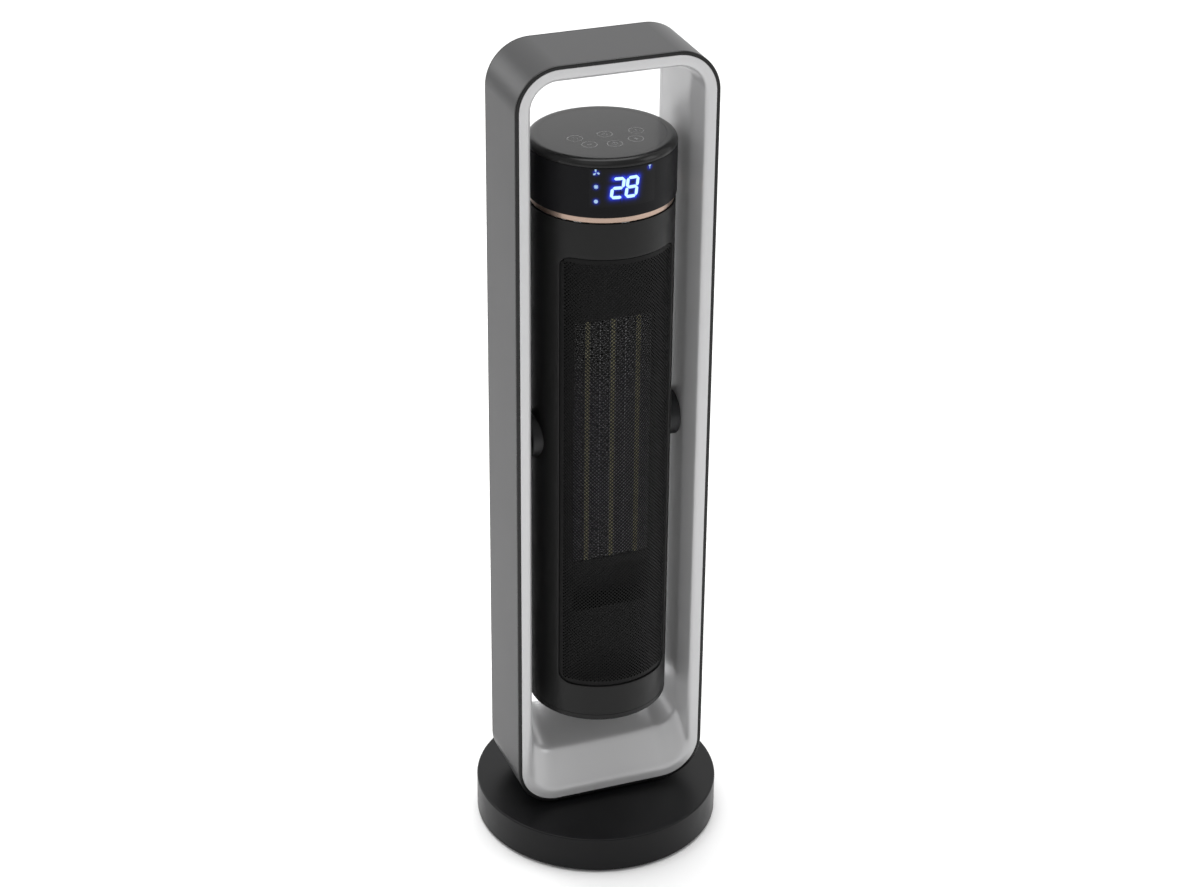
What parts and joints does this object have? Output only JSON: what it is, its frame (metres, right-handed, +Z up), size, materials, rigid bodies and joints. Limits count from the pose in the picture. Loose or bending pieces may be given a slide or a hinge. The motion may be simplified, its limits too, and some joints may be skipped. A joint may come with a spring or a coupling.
{
  "type": "ceramic space heater",
  "caption": "Ceramic tower heater: cylindrical heater with display, tilting in a tall rounded frame on a round base.",
  "frame": {"origin": "centre of the circle that the feet stand on, at floor level", "axes": "+Z up, the outlet grille faces -Y, +X to the right of a viewer in front"},
  "size_m": [0.242, 0.242, 0.8184],
  "materials": {
    "base_black": "fine-textured matte black moulding",
    "cast_iron": "rough cast",
    "steel": "zinc plated",
    "rubber": "matte",
    "white_nylon": "moulded nylon",
    "switch_black": "satin moulding",
    "band_grey": "satin metallic dark grey",
    "edge_black": "semi-gloss",
    "liner_grey": "satin light grey",
    "body_black": "satin black",
    "grille_black": "satin black mesh",
    "gloss_black": "high gloss",
    "rose_gold": "bright rose gold plating",
    "panel_grey": "semi-gloss dark grey",
    "boss_black": "satin",
    "duct_black": "heat resistant moulding",
    "ptc_ceramic": "ceramic bar in olive insulating film",
    "aluminium": "thin bright fins",
    "board_green": "solder-masked board",
    "wheel_black": "moulded",
    "bronze": "sintered",
    "display_light": "lit white-blue segments",
    "panel_print": "thin grey print"
  },
  "bodies": {
    "base": {"base_cover": "base_black", "base_plate": "base_black", "ballast_plate": "cast_iron", "oscillation_motor": "steel", "cord_gland": "base_black", "foot_1": "rubber", "foot_2": "rubber", "foot_3": "rubber", "foot_4": "rubber", "foot_5": "rubber", "foot_6": "rubber", "base_screw_1": "steel", "base_screw_2": "steel", "base_screw_3": "steel", "tip_switch": "switch_black", "rocker_bezel": "switch_black"},
    "pinion": {"drive_pinion": "white_nylon"},
    "plunger": {"tip_plunger": "white_nylon"},
    "rocker": {"power_rocker": "switch_black"},
    "frame": {"outer_band": "band_grey", "front_edge_trim": "edge_black", "rear_edge_trim": "edge_black", "front_liner_top": "liner_grey", "front_liner_foot": "liner_grey", "rear_liner_top": "liner_grey", "rear_liner_foot": "liner_grey", "liner_upright_left": "liner_grey", "liner_upright_right": "liner_grey", "turntable_hub": "base_black", "hub_gear": "white_nylon", "pivot_bushing_right": "white_nylon", "pivot_bushing_left": "white_nylon"},
    "heater_body": {"front_shell": "body_black", "rear_shell": "body_black", "front_grille": "grille_black", "intake_grille": "grille_black", "display_band": "gloss_black", "accent_ring": "rose_gold", "top_cap": "panel_grey", "touch_panel": "panel_grey", "bottom_cap": "body_black", "pivot_trunnion_right": "boss_black", "pivot_trunnion_left": "boss_black", "heater_duct": "duct_black", "element_cap_bottom": "duct_black", "element_cap_top": "duct_black", "thermal_cutout": "steel", "ceramic_bar_1": "ptc_ceramic", "ceramic_bar_2": "ptc_ceramic", "ceramic_bar_3": "ptc_ceramic", "fin_pack_1": "aluminium", "fin_pack_2": "aluminium", "fin_pack_3": "aluminium", "fin_pack_4": "aluminium", "control_board": "board_green", "display_board": "board_green", "scroll_housing": "duct_black", "blower_motor": "steel", "wheel_bearing": "bronze"},
    "blower": {"blower_wheel": "wheel_black"}
  },
  "joints": [
    {"name": "oscillation", "type": "hinge", "parent": "base", "child": "frame", "pos_m": [0, 0, 0.0262], "axis": [0, 0, 1], "range_deg": [-40, 40]},
    {"name": "pinion_spin", "type": "hinge", "parent": "base", "child": "pinion", "pos_m": [0, 0.0541, 0.0262], "axis": [0, 0, 1], "range_deg": [-205, 205]},
    {"name": "tilt", "type": "hinge", "parent": "frame", "child": "heater_body", "pos_m": [0, 0, 0.4397], "axis": [1, 0, 0], "range_deg": [-20, 20]},
    {"name": "blower_spin", "type": "hinge", "parent": "heater_body", "child": "blower", "pos_m": [0, 0.027, 0.439], "axis": [0, 0, 1], "continuous": true},
    {"name": "rocker_press", "type": "hinge", "parent": "base", "child": "rocker", "pos_m": [0.0638, 0.10211, 0.0204], "axis": [0.848, -0.5299, 0], "range_deg": [0, 16]},
    {"name": "tip_plunger_slide", "type": "slide", "parent": "base", "child": "plunger", "axis": [0, 0, 1], "range_m": [-0.004, 0], "stiffness_N_per_m": 120, "springref_m": -0.006}
  ],
  "couplings": [
    {"joint": "pinion_spin", "follows": "oscillation", "ratio": -5}
  ]
}
